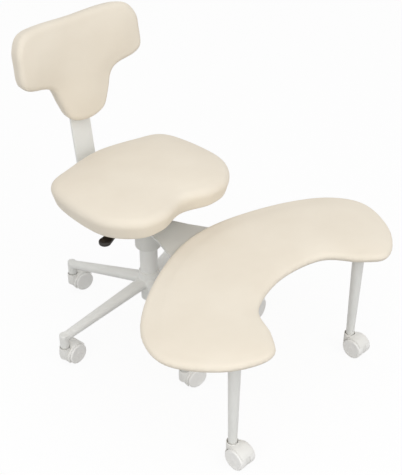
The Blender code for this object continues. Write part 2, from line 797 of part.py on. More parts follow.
def foot_leg_mesh():
    """One footrest leg: a tapered tube with a flange under the board and a stem hole below."""
    bore_top = CASTER_HEIGHT + STEM_IN_LEG
    flange_bottom = PLATE_TOP - FOOT_LEG_FLANGE_THICKNESS
    hollow_bottom = bore_top + FOOT_LEG_WEB
    profile = [
        (0.0, hollow_bottom),
        (FOOT_LEG_END_RADIUS - FOOT_LEG_WALL, hollow_bottom),
        (FOOT_LEG_TOP_RADIUS - FOOT_LEG_WALL, PLATE_TOP),
        (FOOT_LEG_FLANGE_RADIUS, PLATE_TOP),
        (FOOT_LEG_FLANGE_RADIUS, flange_bottom),
        (FOOT_LEG_TOP_RADIUS, flange_bottom),
        (FOOT_LEG_END_RADIUS, CASTER_HEIGHT),
        (STEM_BORE, CASTER_HEIGHT),
        (STEM_BORE, bore_top),
        (0.0, bore_top),
    ]
    return turned("footrest_leg", profile, ARM_SIDES)


def build_footrest(foot, casters):
    """Crescent pad on its board, with two legs on casters."""
    outline = smooth_outline(widened(FOOT_HALF, FOOT_WIDTH), OUTLINE_STEPS)
    spine = widened(FOOT_SPINE, FOOT_WIDTH)
    board = board_outline(outline)
    edges = (FOOT_EDGE_TOP, FOOT_EDGE_LOW, FOOT_DRAWN_IN)
    pad = pad_mesh("footrest_pad", outline, board, spine, FOOT_THICKNESS, FOOT_CROWN, *edges)
    place("footrest_pad", pad, "upholstery", foot, (0.0, 0.0, FOOT_BOTTOM))
    plywood = board_mesh("footrest_board", board)
    place("footrest_board", plywood, "plywood", foot, (0.0, 0.0, FOOT_BOTTOM))
    leg = foot_leg_mesh()
    for side, x in (("left", FOOT_LEG_X), ("right", -FOOT_LEG_X)):
        spot = (x, FOOT_LEG_Y, 0.0)
        place("footrest_leg_" + side, leg, "white_paint", foot, spot)
        add_caster("footrest_caster_" + side, foot, spot, FOOT_CASTER_TURN, casters)


def build_mechanism(seat):
    """Plate, housing and tapered socket under the seat, with the lever's slot and pivot."""
    half_width = MECHANISM_WIDTH / 2
    half_depth = MECHANISM_DEPTH / 2
    half_box = HOUSING_SIZE / 2
    plate = tool(
        box("plate", (-half_width, -half_depth, MECHANISM_BOTTOM), (half_width, half_depth, MECHANISM_TOP))
    )
    housing_bottom = MECHANISM_BOTTOM - HOUSING_HEIGHT
    middle = MECHANISM_BOTTOM + MECHANISM_THICKNESS / 2
    housing = box("housing", (-half_box, -half_box, housing_bottom), (half_box, half_box, middle))
    facet = math.cos(math.pi / ROUND_SIDES)
    socket_length = MECHANISM_BOTTOM - TAPER_BOTTOM
    socket = cylinder("taper_socket", CYLINDER_RADIUS + TAPER_WALL, socket_length, ROUND_SIDES)
    taper_length = CYLINDER_TOP + GAP - TAPER_BOTTOM
    wide = (CYLINDER_RADIUS + GAP) / facet
    narrow = (CYLINDER_TIP_RADIUS + GAP) / facet
    taper = cylinder("taper", wide, taper_length, ROUND_SIDES, narrow)
    mouth = cylinder("taper_mouth", wide, TAPER_BOTTOM, ROUND_SIDES)
    pin_way = cylinder("pin_way", 2 * PIN_RADIUS, LEVER_Z - TAPER_BOTTOM, SMALL_SIDES)
    lever_turn = (0.0, 0.0, math.radians(LEVER_TURN))
    slot_start = -LEVER_PAST_PIN - SLOT_SIDE
    slot = box(
        "lever_slot",
        (slot_start, -SLOT_WIDTH / 2, SLOT_BOTTOM),
        (HOUSING_SIZE, SLOT_WIDTH / 2, SLOT_TOP),
    )
    hole = pivot_tool("pivot_hole", PIVOT_RADIUS + GAP, GAP)
    steps = [
        ("UNION", tool(housing)),
        ("UNION", tool(socket, (0.0, 0.0, TAPER_BOTTOM))),
        ("DIFFERENCE", tool(taper, (0.0, 0.0, TAPER_BOTTOM))),
        ("DIFFERENCE", tool(mouth)),
        ("DIFFERENCE", tool(pin_way, (0.0, 0.0, TAPER_BOTTOM))),
        ("DIFFERENCE", tool(slot, rotation=lever_turn)),
        ("DIFFERENCE", hole),
    ]
    place("seat_mechanism", combine("seat_mechanism", plate, steps), "steel", seat)


def pivot_tool(name, radius, past):
    """A cylinder along the lever's pivot, across the slot and into its walls."""
    length = SLOT_WIDTH + 2 * PIVOT_IN_WALL + 2 * past
    angle = math.radians(LEVER_TURN)
    along = Vector((math.cos(angle), math.sin(angle), 0.0))
    across = Vector((-along.y, along.x, 0.0))
    spot = along * LEVER_ARM - across * (length / 2)
    rotation = Vector((0.0, 0.0, 1.0)).rotation_difference(across).to_euler()
    return tool(cylinder(name, radius, length, SMALL_SIDES), (spot.x, spot.y, LEVER_Z), rotation)


def build_lever(seat):
    """Height lever: a rod on a cross pin, with a flat grip at its end."""
    pivot = baked(pivot_tool("pivot", PIVOT_RADIUS, 0.0), "lever_pin")
    place("lever_pin", smooth(pivot), "steel", seat)
    lever = frame("lever_frame", seat, (0.0, 0.0, LEVER_Z), LEVER_TURN)
    sideways = (0.0, math.radians(90.0), 0.0)
    quarter = (math.radians(90.0), 0.0, 0.0)
    rod = cylinder("rod_blank", LEVER_ROD_RADIUS, LEVER_REACH + LEVER_PAST_PIN, SMALL_SIDES)
    hole_length = 4 * LEVER_ROD_RADIUS
    hole = cylinder("rod_hole", PIVOT_RADIUS + GAP, hole_length, SMALL_SIDES)
    steps = [("DIFFERENCE", tool(hole, (LEVER_ARM, hole_length / 2, 0.0), quarter))]
    rod_mesh = combine("lever_rod", tool(rod, (-LEVER_PAST_PIN, 0.0, 0.0), sideways), steps)
    place("lever_rod", rod_mesh, "steel", lever)
    half = PADDLE_WIDTH / 2
    outline = [(PADDLE_START, half * 0.6), (PADDLE_START, -half * 0.6)]
    for step in range(2 * BEND_STEPS + 1):
        angle = -math.pi / 2 + math.pi * step / (2 * BEND_STEPS)
        outline.append((PADDLE_END - half + half * math.cos(angle), half * math.sin(angle)))
    blank = tool(flat_shape("paddle_blank", outline, PADDLE_THICKNESS))
    bore = (LEVER_ROD_RADIUS + GAP) / math.cos(math.pi / SMALL_SIDES)
    rod_bore = cylinder("paddle_bore", bore, LEVER_REACH + GAP, SMALL_SIDES)
    paddle = combine("lever_paddle", blank, [("DIFFERENCE", tool(rod_bore, rotation=sideways))])
    place("lever_paddle", paddle, "black_plastic", lever)


def build_seat(seat):
    """Seat pad on its board."""
    outline = smooth_outline(widened(SEAT_HALF, SEAT_WIDTH), OUTLINE_STEPS)
    spine = widened(SEAT_SPINE, SEAT_WIDTH)
    board = board_outline(outline)
    edges = (SEAT_EDGE_TOP, SEAT_EDGE_LOW, SEAT_DRAWN_IN)
    pad = pad_mesh("seat_pad", outline, board, spine, SEAT_THICKNESS, SEAT_CROWN, *edges)
    place("seat_pad", pad, "upholstery", seat, (0.0, 0.0, SEAT_BOTTOM))
    place("seat_board", board_mesh("seat_board", board), "plywood", seat, (0.0, 0.0, SEAT_BOTTOM))


def bar_outline(lean):
    """Side view of the back bar as (y, z) points: back under the seat, then up behind the back."""
    low_z = MECHANISM_BOTTOM - GAP - BAR_THICKNESS / 2
    start_y = MECHANISM_DEPTH / 2 - BAR_UNDER_PLATE
    up = Vector((math.sin(lean), math.cos(lean)))
    rearward = Vector((up.y, -up.x))
    on_line = Vector(BACK_FOOT[1:]) + rearward * (GAP + BAR_THICKNESS / 2)
    corner = on_line + up * ((low_z - on_line.y) / up.y)
    bend = BAR_BEND + BAR_THICKNESS / 2
    bend_start = corner.x - bend * math.tan((math.pi / 2 - lean) / 2)
    centre = Vector((bend_start, low_z + bend))
    top = on_line + up * BAR_BEHIND_BACK

    def face(side):
        """One face of the bar: +1 outside its bend, -1 inside it."""
        half = side * BAR_THICKNESS / 2
        points = [Vector((start_y, low_z - half))]
        for step in range(BEND_STEPS + 1):
            angle = -math.pi / 2 + (math.pi / 2 - lean) * step / BEND_STEPS
            points.append(centre + Vector((math.cos(angle), math.sin(angle))) * (bend + half))
        points.append(top + rearward * half)
        return points

    return face(1) + list(reversed(face(-1)))


def build_back(seat):
    """T-shaped backrest on a flat bar that comes up from under the seat."""
    lean = math.radians(BACK_LEAN)
    bar = flat_shape("back_bar", bar_outline(lean), BAR_WIDTH)
    quarter = math.radians(90.0)
    place("back_bar", bar, "white_paint", seat, rotation=(quarter, 0.0, quarter))
    outline = smooth_outline(widened(BACK_HALF, BACK_WIDTH), BACK_OUTLINE_STEPS)
    spine = widened(BACK_SPINE, BACK_WIDTH)
    board = board_outline(outline, BACK_BOARD_SHARE)
    edges = (BACK_EDGE_FRONT, BACK_EDGE_REAR, BACK_DRAWN_IN)
    pad = pad_mesh("back_pad", outline, board, spine, BACK_THICKNESS, BACK_CROWN, *edges, BACK_BOW)
    upright = (quarter - lean, 0.0, 0.0)
    place("back_pad", pad, "upholstery", seat, BACK_FOOT, upright)
    place("back_board", board_mesh("back_board", board), "plywood", seat, BACK_FOOT, upright)


def build_chair():
    """Frames on the joint axes, then each body."""
    root = frame("chair_frame", None, (0.0, ORIGIN_AHEAD, 0.0))
    base = frame("base_frame", root, turn=BASE_TURN)
    foot = frame("footrest_frame", root)
    seat = frame("seat_frame", root, turn=SEAT_TURN)
    casters = (stem_mesh(), hood_mesh(), wheel_mesh())
    build_base(base, casters)
    build_column(base)
    build_gas_spring(seat)
    build_swing_arm(foot)
    build_footrest(foot, casters)
    build_mechanism(seat)
    build_lever(seat)
    build_seat(seat)
    build_back(seat)


build_chair()
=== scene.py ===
"""Looks of the cross-legged office chair: cushions, painted metal, casters, light and camera."""
import json
import math

import bmesh
import bpy
import numpy as np
from mathutils import Matrix, Vector


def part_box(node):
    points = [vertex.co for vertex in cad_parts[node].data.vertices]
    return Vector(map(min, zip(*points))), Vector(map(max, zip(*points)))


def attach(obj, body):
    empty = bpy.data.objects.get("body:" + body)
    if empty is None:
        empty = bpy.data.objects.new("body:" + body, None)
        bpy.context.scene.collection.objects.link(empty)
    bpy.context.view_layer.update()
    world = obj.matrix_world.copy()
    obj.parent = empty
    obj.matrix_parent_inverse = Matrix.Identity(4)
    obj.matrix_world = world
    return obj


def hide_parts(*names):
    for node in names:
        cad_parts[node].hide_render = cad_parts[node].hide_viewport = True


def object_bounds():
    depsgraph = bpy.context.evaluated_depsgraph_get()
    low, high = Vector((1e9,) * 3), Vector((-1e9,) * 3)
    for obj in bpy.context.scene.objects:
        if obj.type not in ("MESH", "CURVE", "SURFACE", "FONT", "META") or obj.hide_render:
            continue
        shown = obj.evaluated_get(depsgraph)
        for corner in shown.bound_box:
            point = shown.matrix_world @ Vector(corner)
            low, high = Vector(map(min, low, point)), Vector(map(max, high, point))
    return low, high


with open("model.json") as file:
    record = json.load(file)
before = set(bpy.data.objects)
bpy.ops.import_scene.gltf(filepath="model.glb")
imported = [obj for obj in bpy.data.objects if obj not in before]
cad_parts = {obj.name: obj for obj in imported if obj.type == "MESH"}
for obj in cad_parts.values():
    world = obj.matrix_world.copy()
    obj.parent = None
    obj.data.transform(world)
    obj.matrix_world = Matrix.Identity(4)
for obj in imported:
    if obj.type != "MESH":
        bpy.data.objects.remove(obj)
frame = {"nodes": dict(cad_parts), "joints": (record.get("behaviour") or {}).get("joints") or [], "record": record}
CAD_BOX = [list(corner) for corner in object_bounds()]
NODES = frame["nodes"]
JOINTS = {joint["name"]: joint for joint in frame["joints"]}

# Where the chair's own frames are
COLUMN = Vector(JOINTS["seat_swivel"]["pos_m"]).xy
AT_COLUMN = Matrix.Translation((*COLUMN, 0.0))
SEAT_TURN = math.radians(-5.5)
BACK_LEAN = math.radians(7.25)
BACK_FOOT = Vector((0.0, 0.263, 0.579))

# Camera, as the photograph was taken
CAMERA_AZIMUTH = math.radians(-50.35)
CAMERA_ELEVATION = math.radians(34.31)
CAMERA_DISTANCE = 2.605
CAMERA_AIM = Vector((0.0923, 0.0326, 0.2954))
CAMERA_LENS = 72.34
CAMERA_SENSOR = 36.0
CAMERA_CLIP = 60.0

# Cushions: half outlines from the middle of the rear or top edge round to the middle of the front or foot
SEAT_HALF = (
    (0.0000, 0.206),
    (0.1201, 0.184),
    (0.1949, 0.154),
    (0.2220, 0.070),
    (0.2189, -0.070),
    (0.1590, -0.151),
    (0.0830, -0.167),
    (0.0000, -0.143),
)
FOOT_HALF = (
    (0.0000, -0.160),
    (0.1319, -0.183),
    (0.2829, -0.249),
    (0.3852, -0.331),
    (0.4160, -0.430),
    (0.3499, -0.543),
    (0.2500, -0.598),
    (0.1889, -0.554),
    (0.1319, -0.475),
    (0.0000, -0.445),
)
BACK_HALF = (
    (0.0000, 0.276),
    (0.1010, 0.278),
    (0.1650, 0.270),
    (0.1939, 0.235),
    (0.1981, 0.193),
    (0.1969, 0.146),
    (0.1719, 0.125),
    (0.1191, 0.113),
    (0.0941, 0.095),
    (0.0770, 0.048),
    (0.0540, 0.006),
    (0.0000, -0.009),
)
SEAT_SPINE = ((-0.091, 0.020), (0.091, 0.020))
FOOT_SPINE = (
    (-0.262, -0.520),
    (-0.235, -0.420),
    (-0.140, -0.345),
    (0.000, -0.310),
    (0.140, -0.345),
    (0.235, -0.420),
    (0.262, -0.520),
)
BACK_SPINE = ((-0.128, 0.200), (0.000, 0.200), (0.000, 0.080), (0.000, 0.200), (0.128, 0.200))
# Thickness, rise of the crown, radius of the upper and of the lower edge, how far the sides are drawn in
SEAT_FORM = (0.076, 0.011, 0.019, 0.014, 0.008)
FOOT_FORM = (0.034, 0.005, 0.012, 0.012, 0.004)
BACK_FORM = (0.054, 0.005, 0.013, 0.010, 0.004)
BACK_BOW = 0.019
FLAT_REAR = 0.110
OUTLINE_STEPS = 10
EDGE_STEPS = 8
CROWN_STEPS = 8
CROWN_END = 0.96
EDGE_SWEEP = math.radians(78.0)

# Swelling of the cushions
EDGE_SWELL = 0.0005
TOP_SWELL = 0.004
SWELL_CAP = 0.005
SWELL_TURNS = 30
CROWN_TURNS = 50
CLOTH_CELL = 0.0045
CLOTH_PRESSURE = 6.0
CLOTH_FRAMES = 20
HELD_BELOW = 0.006
FREE_ABOVE = 0.018
FIRST_SOFTEN = 2
LAST_SOFTEN = 3
SOFTEN_FACTOR = 0.5

# Painted metal
BASE_ARMS = 5
HUB_ROUND = 0.003
ARM_ROOT_RADIUS = 0.0195
ARM_END_RADIUS = 0.0132
ARM_FLATNESS = 0.91
SOCKET_RADIUS = 0.0128
SOCKET_TOP = 0.104
SOCKET_ROUND = 0.003
WELD_CELL = 0.0018
WELD_TURNS = 8
COLUMN_WALL = 0.0025
COLUMN_ROUND = 0.0012
COLLAR_ROUND = 0.0022
COLLAR_BORE = 0.029
PLATE_BEVEL = 0.0008
BAR_BEVEL = 0.0018
MECHANISM_BEVEL = 0.0008
BEVEL_SEGMENTS = 3
LEG_TOP_RADIUS = 0.0164
LEG_END_RADIUS = 0.0114
FLANGE_THICKNESS = 0.004
LEG_ROUND = 0.0015

# Casters
WHEEL_RADIUS = 0.0288
WHEEL_INNER = 0.007
WHEEL_OUTER = 0.025
TREAD_ROUND = 0.0040
INNER_ROUND = 0.0008
DISH_RIM = 0.0045
DISH_DEPTH = 0.0004
WHEEL_CAP_RADIUS = 0.006
TRAIL = 0.0258
HOOD_TOP = 0.0597
HOOD_OUTER = 0.021
HOOD_ROUND = 0.0042
HOOD_TILT = math.radians(30.0)
HOOD_SHELL = 0.0025
WELL_RADIUS = 0.0300
BOSS_RADIUS = 0.0158
BOSS_BELOW_AXLE = 0.003
BOSS_ROUND = 0.0012
WEB_RADIUS = 0.0280
WEB_HALF = 0.0065
WEB_ABOVE_FLOOR = 0.010
STUB_RADIUS = 0.004
STEM_BORE = 0.0053
CUP_INNER = 0.0112
CUP_OUTER = 0.0140
CUP_DEPTH = 0.007
PAST_CASTER = 0.1
CUT_BLOCK = 0.2

# Lever
PADDLE_START = 0.165
PADDLE_END = 0.225
PADDLE_WIDTH = 0.032
PADDLE_NECK = 0.0192
PADDLE_THICKNESS = 0.0116
PADDLE_ROUND = 0.004
PADDLE_SEGMENTS = 5
PADDLE_STEPS = 24

# Fasteners: heads of the bolts and screws, and where they are in the frame of what they hold
BOLT_RADIUS = 0.0062
BOLT_HEIGHT = 0.0038
WASHER_RADIUS = 0.0085
WASHER_HEIGHT = 0.0012
SCREW_RADIUS = 0.0042
SCREW_HEIGHT = 0.0022
CROSS_LENGTH = 0.0048
CROSS_WIDTH = 0.0011
CROSS_DEPTH = 0.0013
FASTENER_SIDES = 32
HEXAGON = 6
MECHANISM_BOLTS = ((-0.088, -0.088), (0.088, -0.088), (-0.088, 0.088), (0.088, 0.088))
BAR_BOLTS = ((-0.018, 0.080), (0.018, 0.080))
BACK_BOLTS = ((0.0, 0.060), (0.0, 0.150))
PLATE_SCREWS = ((-0.070, -0.225), (0.070, -0.225), (-0.070, -0.285), (0.070, -0.285))
FLANGE_SCREW_CIRCLE = 0.026
FLANGE_SCREWS = 4
MECHANISM_PLATE = 0.005
BAR_THICKNESS = 0.008

# Floor and light
FLOOR_HALF = 15.0
FLOOR_BOUNCE = 0.48
FLOOR_TONE = 0.95
FLOOR_GLOW = 0.92
SKY_LOW = 0.56
SKY_HIGH = 0.80
# Name, place, size and power of each lamp
LAMPS = (
    ("front_lamp", (-0.4, -2.9, 2.7), 3.0, 41.0),
    ("side_lamp", (-3.2, -0.7, 2.0), 3.0, 32.0),
)

# Colours as display values from 0 to 255, from a darker to a lighter tone, and how rough surfaces are
CREAM = ((234, 224, 207), (239, 230, 214))
BIRCH = ((176, 141, 99), (207, 178, 137))
PAINT_WHITE = ((231, 231, 227), (236, 236, 232))
# Darker white for the swing collar and arm plate: painted shade standing in for the shadow the seat casts on them
ARM_WHITE_PAINTED_SHADE = ((219, 219, 214), (224, 224, 219))
STEEL_GREY = ((150, 150, 150), (186, 186, 184))
HOOD_WHITE = ((235, 234, 230), (239, 238, 234))
# Lighter white for the wheels than for the hoods: painted light on the wheel faces, which the lamps leave too dark
WHEEL_WHITE_PAINTED_LIGHT = ((246, 245, 242), (249, 248, 245))
GRIP_BLACK = ((34, 31, 27), (44, 41, 36))
BUSH_GREY = ((84, 84, 84), (98, 98, 98))
PAINT_ROUGHNESS = 0.42
PAINT_UNEVEN = 0.05
WHITE_ROUGHNESS = 0.50
BLACK_ROUGHNESS = 0.46
BUSH_ROUGHNESS = 0.50
PLASTIC_UNEVEN = 0.06
TONE_START = 0.3
TONE_END = 0.7

# Room round a piece that is set into another, and between a board and what it is bolted to
PLAY = 0.0006
BOARD_GAP = 0.0003

# How finely the meshes are made
ROUND_SIDES = 72
CONE_SIDES = 48
CORNER_STEPS = 4
CORNER_REACH = 0.49
SAME_POINT = 0.000001
CAD_SAME_POINT = 0.00001
FLAT = math.radians(1.0)
SHARP = math.radians(35.0)


def linear(red, green, blue):
    """A colour written as 0 to 255 display values."""
    values = []
    for value in (red, green, blue):
        share = value / 255
        values.append(share / 12.92 if share <= 0.04045 else ((share + 0.055) / 1.055) ** 2.4)
    return (*values, 1.0)


def node(tree, kind, inputs, **settings):
    """Add a shader node, with its inputs set or linked."""
    made = tree.nodes.new(kind)
    for key, value in settings.items():
        setattr(made, key, value)
    for key, value in inputs.items():
        if isinstance(value, bpy.types.NodeSocket):
            tree.links.new(value, made.inputs[key])
        else:
            made.inputs[key].default_value = value
    return made


def new_material(name, **sockets):
    """A Principled material with constant sockets set directly."""
    material = bpy.data.materials.new(name)
    material.use_nodes = True
    tree = material.node_tree
    shader = tree.nodes["Principled BSDF"]
    for key, value in sockets.items():
        shader.inputs[key.replace("_", " ")].default_value = value
    place = tree.nodes.new("ShaderNodeTexCoord").outputs["Object"]
    return material, tree, shader, place


def noise(tree, place, scale, detail=2.0, roughness=0.5):
    """A noise value over the surface."""
    inputs = {"Vector": place, "Scale": scale, "Detail": detail, "Roughness": roughness}
    return node(tree, "ShaderNodeTexNoise", inputs).outputs["Fac"]


def stretched(tree, place, scale):
    """Coordinates scaled unevenly, for grain and brush lines."""
    return node(tree, "ShaderNodeMapping", {"Vector": place, "Scale": scale}).outputs["Vector"]


def ranged(tree, value, low, high):
    """A value moved from 0..1 to a range."""
    inputs = {"Value": value, "To Min": low, "To Max": high}
    return node(tree, "ShaderNodeMapRange", inputs).outputs["Result"]


def coloured(tree, shader, value, tones):
    """Colour the shader between two tones."""
    ramp = node(tree, "ShaderNodeValToRGB", {"Fac": value})
    for stop, position, tone in zip(ramp.color_ramp.elements, (TONE_START, TONE_END), tones):
        stop.position = position
        stop.color = linear(*tone)
    tree.links.new(ramp.outputs["Color"], shader.inputs["Base Color"])


def roughened(tree, shader, value, low, high):
    """Vary how rough the shader is."""
    tree.links.new(ranged(tree, value, low, high), shader.inputs["Roughness"])


def bumped(tree, shader, height, strength, distance, normal=None):
    """Give the shader a fine relief."""
    inputs = {"Height": height, "Strength": strength, "Distance": distance}
    if normal:
        inputs["Normal"] = normal
    relief = node(tree, "ShaderNodeBump", inputs).outputs["Normal"]
    tree.links.new(relief, shader.inputs["Normal"])
    return relief


def upholstery():
    """Smooth matt synthetic leather with a fine pebbled grain."""
    looks = {"Sheen_Weight": 0.08, "Sheen_Roughness": 0.5, "Specular_IOR_Level": 0.34}
    material, tree, shader, place = new_material("upholstery", **looks)
    coloured(tree, shader, noise(tree, place, scale=7.0, detail=3.0), CREAM)
    cells = node(tree, "ShaderNodeTexVoronoi", {"Vector": place, "Scale": 620.0}).outputs["Distance"]
    grain = bumped(tree, shader, cells, strength=0.16, distance=0.0004)
    pores = noise(tree, place, scale=1400.0)
    bumped(tree, shader, pores, strength=0.08, distance=0.0002, normal=grain)
    roughened(tree, shader, noise(tree, place, scale=45.0), low=0.52, high=0.64)
    return material


def painted(name, tones):
    """Powder coat: a faint orange peel and slightly uneven gloss."""
    material, tree, shader, place = new_material(name)
    coloured(tree, shader, noise(tree, place, scale=14.0, detail=3.0), tones)
    peel = noise(tree, place, scale=420.0, detail=3.0)
    bumped(tree, shader, peel, strength=0.10, distance=0.0003)
    patches = noise(tree, place, scale=60.0)
    roughened(tree, shader, patches, PAINT_ROUGHNESS - PAINT_UNEVEN, PAINT_ROUGHNESS + PAINT_UNEVEN)
    return material


def moulded(name, tones, roughness):
    """Moulded plastic with a spark-eroded texture."""
    material, tree, shader, place = new_material(name, Specular_IOR_Level=0.4)
    coloured(tree, shader, noise(tree, place, scale=22.0), tones)
    sparks = noise(tree, place, scale=1900.0, detail=3.0, roughness=0.65)
    bumped(tree, shader, sparks, strength=0.14, distance=0.0002)
    patches = noise(tree, place, scale=80.0)
    roughened(tree, shader, patches, roughness - PLASTIC_UNEVEN, roughness + PLASTIC_UNEVEN)
    return material


def ground_steel():
    """Bright steel with fine marks round its axis."""
    material, tree, shader, place = new_material("steel", Metallic=1.0)
    marks = noise(tree, stretched(tree, place, (40.0, 40.0, 2600.0)), scale=1.0, detail=4.0)
    coloured(tree, shader, marks, STEEL_GREY)
    bumped(tree, shader, marks, strength=0.08, distance=0.0002)
    roughened(tree, shader, marks, low=0.26, high=0.42)
    return material


def plywood():
    """Birch plywood: long grain on the faces."""
    material, tree, shader, place = new_material("plywood")
    along = stretched(tree, place, (4.0, 90.0, 500.0))
    grain = noise(tree, along, scale=1.0, detail=6.0, roughness=0.6)
    coloured(tree, shader, grain, BIRCH)
    bumped(tree, shader, grain, strength=0.2, distance=0.0004)
    roughened(tree, shader, grain, low=0.55, high=0.75)
    return material


MATERIALS = {
    "upholstery": upholstery(),
    "plywood": plywood(),
    "white_paint": painted("white_paint", PAINT_WHITE),
    # A darker copy of the white paint, as painted shade under the seat
    "arm_painted_shade": painted("arm_painted_shade", ARM_WHITE_PAINTED_SHADE),
    "steel": ground_steel(),
    "white_plastic": moulded("white_plastic", HOOD_WHITE, WHITE_ROUGHNESS),
    # A lighter copy of the white plastic, as painted light on the wheels
    "wheel_plastic_painted_light": moulded("wheel_plastic_painted_light", WHEEL_WHITE_PAINTED_LIGHT, WHITE_ROUGHNESS),
    "black_plastic": moulded("black_plastic", GRIP_BLACK, BLACK_ROUGHNESS),
    "bush_plastic": moulded("bush_plastic", BUSH_GREY, BUSH_ROUGHNESS),
}


def dress_frame():
    """Give every node of the frame the material of its slot."""
    for part in frame["record"]["subparts"]:
        mesh = NODES[part["node"]].data
        mesh.materials.clear()
        mesh.materials.append(MATERIALS[part["material_slot"]])


def new_object(name, mesh):
    """An object in the scene for a mesh."""
    made = bpy.data.objects.new(name, mesh)
    bpy.context.scene.collection.objects.link(made)
    return made


def applied(thing):
    """Replace an object's mesh by what its modifiers make of it."""
    bpy.context.view_layer.update()
    graph = bpy.context.evaluated_depsgraph_get()
    mesh = bpy.data.meshes.new_from_object(thing.evaluated_get(graph), depsgraph=graph)
    thing.modifiers.clear()
    thing.data = mesh
    return thing


def shaded(mesh):
    """Smooth shading with the real edges kept."""
    mesh.shade_smooth()
    mesh.set_sharp_from_angle(angle=SHARP)
    return mesh


def finished(work, name):
    """Close a bmesh into a smooth-shaded mesh."""
    bmesh.ops.remove_doubles(work, verts=work.verts, dist=SAME_POINT)
    bmesh.ops.recalc_face_normals(work, faces=work.faces)
    mesh = bpy.data.meshes.new(name)
    work.to_mesh(mesh)
    work.free()
    return shaded(mesh)


def add_piece(thing, body, slot, *nodes, finish=None):
    """Put a piece on its body, in place of the named nodes."""
    thing.data.materials.clear()
    thing.data.materials.append(MATERIALS[finish or slot])
    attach(thing, body)
    if nodes:
        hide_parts(*nodes)
    return thing


def rounded(profile, radius):
    """Round the corners between the ends of a profile."""
    points = [Vector(point) for point in profile]
    out = [points[0]]
    for before, corner, after in zip(points, points[1:], points[2:]):
        back = before - corner
        ahead = after - corner
        reach = min(radius, back.length * CORNER_REACH, ahead.length * CORNER_REACH)
        first = corner + back.normalized() * reach
        last = corner + ahead.normalized() * reach
        for step in range(CORNER_STEPS + 1):
            t = step / CORNER_STEPS
            out.append(first * (1 - t) ** 2 + corner * 2 * t * (1 - t) + last * t * t)
    out.append(points[-1])
    return out


def turned(name, profile, closed=False, sides=ROUND_SIDES):
    """A shape turned about Z from (radius, height) points."""
    work = bmesh.new()
    verts = [work.verts.new((r, 0.0, z)) for r, z in profile]
    edges = [work.edges.new(pair) for pair in zip(verts, verts[1:])]
    if closed:
        edges.append(work.edges.new((verts[-1], verts[0])))
    turn = {"cent": (0.0, 0.0, 0.0), "axis": (0.0, 0.0, 1.0), "angle": math.tau, "steps": sides}
    bmesh.ops.spin(work, geom=verts + edges, use_merge=True, **turn)
    return finished(work, name)


def drum(name, radius, low, high, soft=0.0, sides=ROUND_SIDES):
    """A solid drum about Z between two heights."""
    profile = [(0.0, high), (radius, high), (radius, low), (0.0, low)]
    return turned(name, rounded(profile, soft) if soft else profile, sides=sides)


def tapered(name, start, end, start_radius, end_radius, sides=CONE_SIDES, flatness=1.0):
    """A solid cone between two points, its height a share of its width."""
    work = bmesh.new()
    run = end - start
    radii = {"radius1": start_radius, "radius2": end_radius}
    bmesh.ops.create_cone(work, cap_ends=True, segments=sides, depth=run.length, **radii)
    turn = run.to_track_quat("Z", "Y").to_matrix().to_4x4() @ Matrix.Diagonal((1.0, flatness, 1.0, 1.0))
    bmesh.ops.transform(work, matrix=Matrix.Translation((start + end) / 2) @ turn, verts=work.verts)
    return finished(work, name)


def combined(thing, steps):
    """Join shapes to an object or cut them from it, then drop the shapes."""
    shapes = []
    for operation, mesh in steps:
        shape = new_object("shape", mesh)
        shapes.append(shape)
        change = thing.modifiers.new(operation, "BOOLEAN")
        change.operation = operation
        change.solver = "MANIFOLD"
        change.object = shape
    applied(thing)
    for shape in shapes:
        bpy.data.objects.remove(shape, do_unlink=True)
    return thing


def add_softening(thing, turns):
    """A smoothing step, still to be applied."""
    soften = thing.modifiers.new("soften", "SMOOTH")
    soften.factor = SOFTEN_FACTOR
    soften.iterations = turns


def remeshed(thing, cell, turns):
    """Rebuild a mesh in even cells and soften it."""
    change = thing.modifiers.new("cells", "REMESH")
    change.mode = "VOXEL"
    change.voxel_size = cell
    add_softening(thing, turns)
    return applied(thing)


def soft_edged(thing, width, segments):
    """Bevel the sharp edges of an object."""
    bevel = thing.modifiers.new("edges", "BEVEL")
    bevel.width = width
    bevel.segments = segments
    bevel.limit_method = "ANGLE"
    bevel.angle_limit = SHARP
    return applied(thing)


def half_width(name):
    """Half of what a node measures along X: the radius of a round one."""
    low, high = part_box(name)
    return (high.x - low.x) / 2


def seat_frame():
    """Where the seat's own frame stands."""
    return AT_COLUMN @ Matrix.Rotation(SEAT_TURN, 4, "Z")


def back_frame():
    """Where the backrest's own frame stands: Y up along its bar, Z out of its face."""
    return seat_frame() @ Matrix.Translation(BACK_FOOT) @ Matrix.Rotation(math.pi / 2 - BACK_LEAN, 4, "X")


def smooth_outline(half, steps):
    """A closed curve through a half outline and its mirror image, in even steps."""
    knots = [Vector(point) for point in half]
    knots += [Vector((-x, y)) for x, y in reversed(half[1:-1])]
    count = len(knots)
    points = []
    for i in range(count):
        before, here, after, beyond = (knots[(i + k) % count] for k in (-1, 0, 1, 2))
        for step in range(steps):
            t = step / steps
            line = 2 * here + (after - before) * t
            bend = (2 * before - 5 * here + 4 * after - beyond) * t * t
            twist = (3 * here - before - 3 * after + beyond) * t * t * t
            points.append((line + bend + twist) / 2)
    return points


def inward(points, distance):
    """Move a closed outline in by a distance, square to its edge."""
    count = len(points)
    area = sum(points[i - 1].cross(points[i]) for i in range(count))
    side = math.copysign(1.0, area)
    moved = []
    for i in range(count):
        along = points[(i + 1) % count] - points[i - 1]
        normal = Vector((-along.y, along.x)).normalized() * side
        moved.append(points[i] + normal * distance)
    return moved


def nearest_on_spine(point, spine):
    """The nearest point of a line of segments."""
    found = []
    for first, second in zip(spine, spine[1:]):
        first = Vector(first)
        run = Vector(second) - first
        share = max(0.0, min(1.0, (point - first).dot(run) / run.dot(run)))
        found.append(first + run * share)
    return min(found, key=lambda there: (there - point).length)


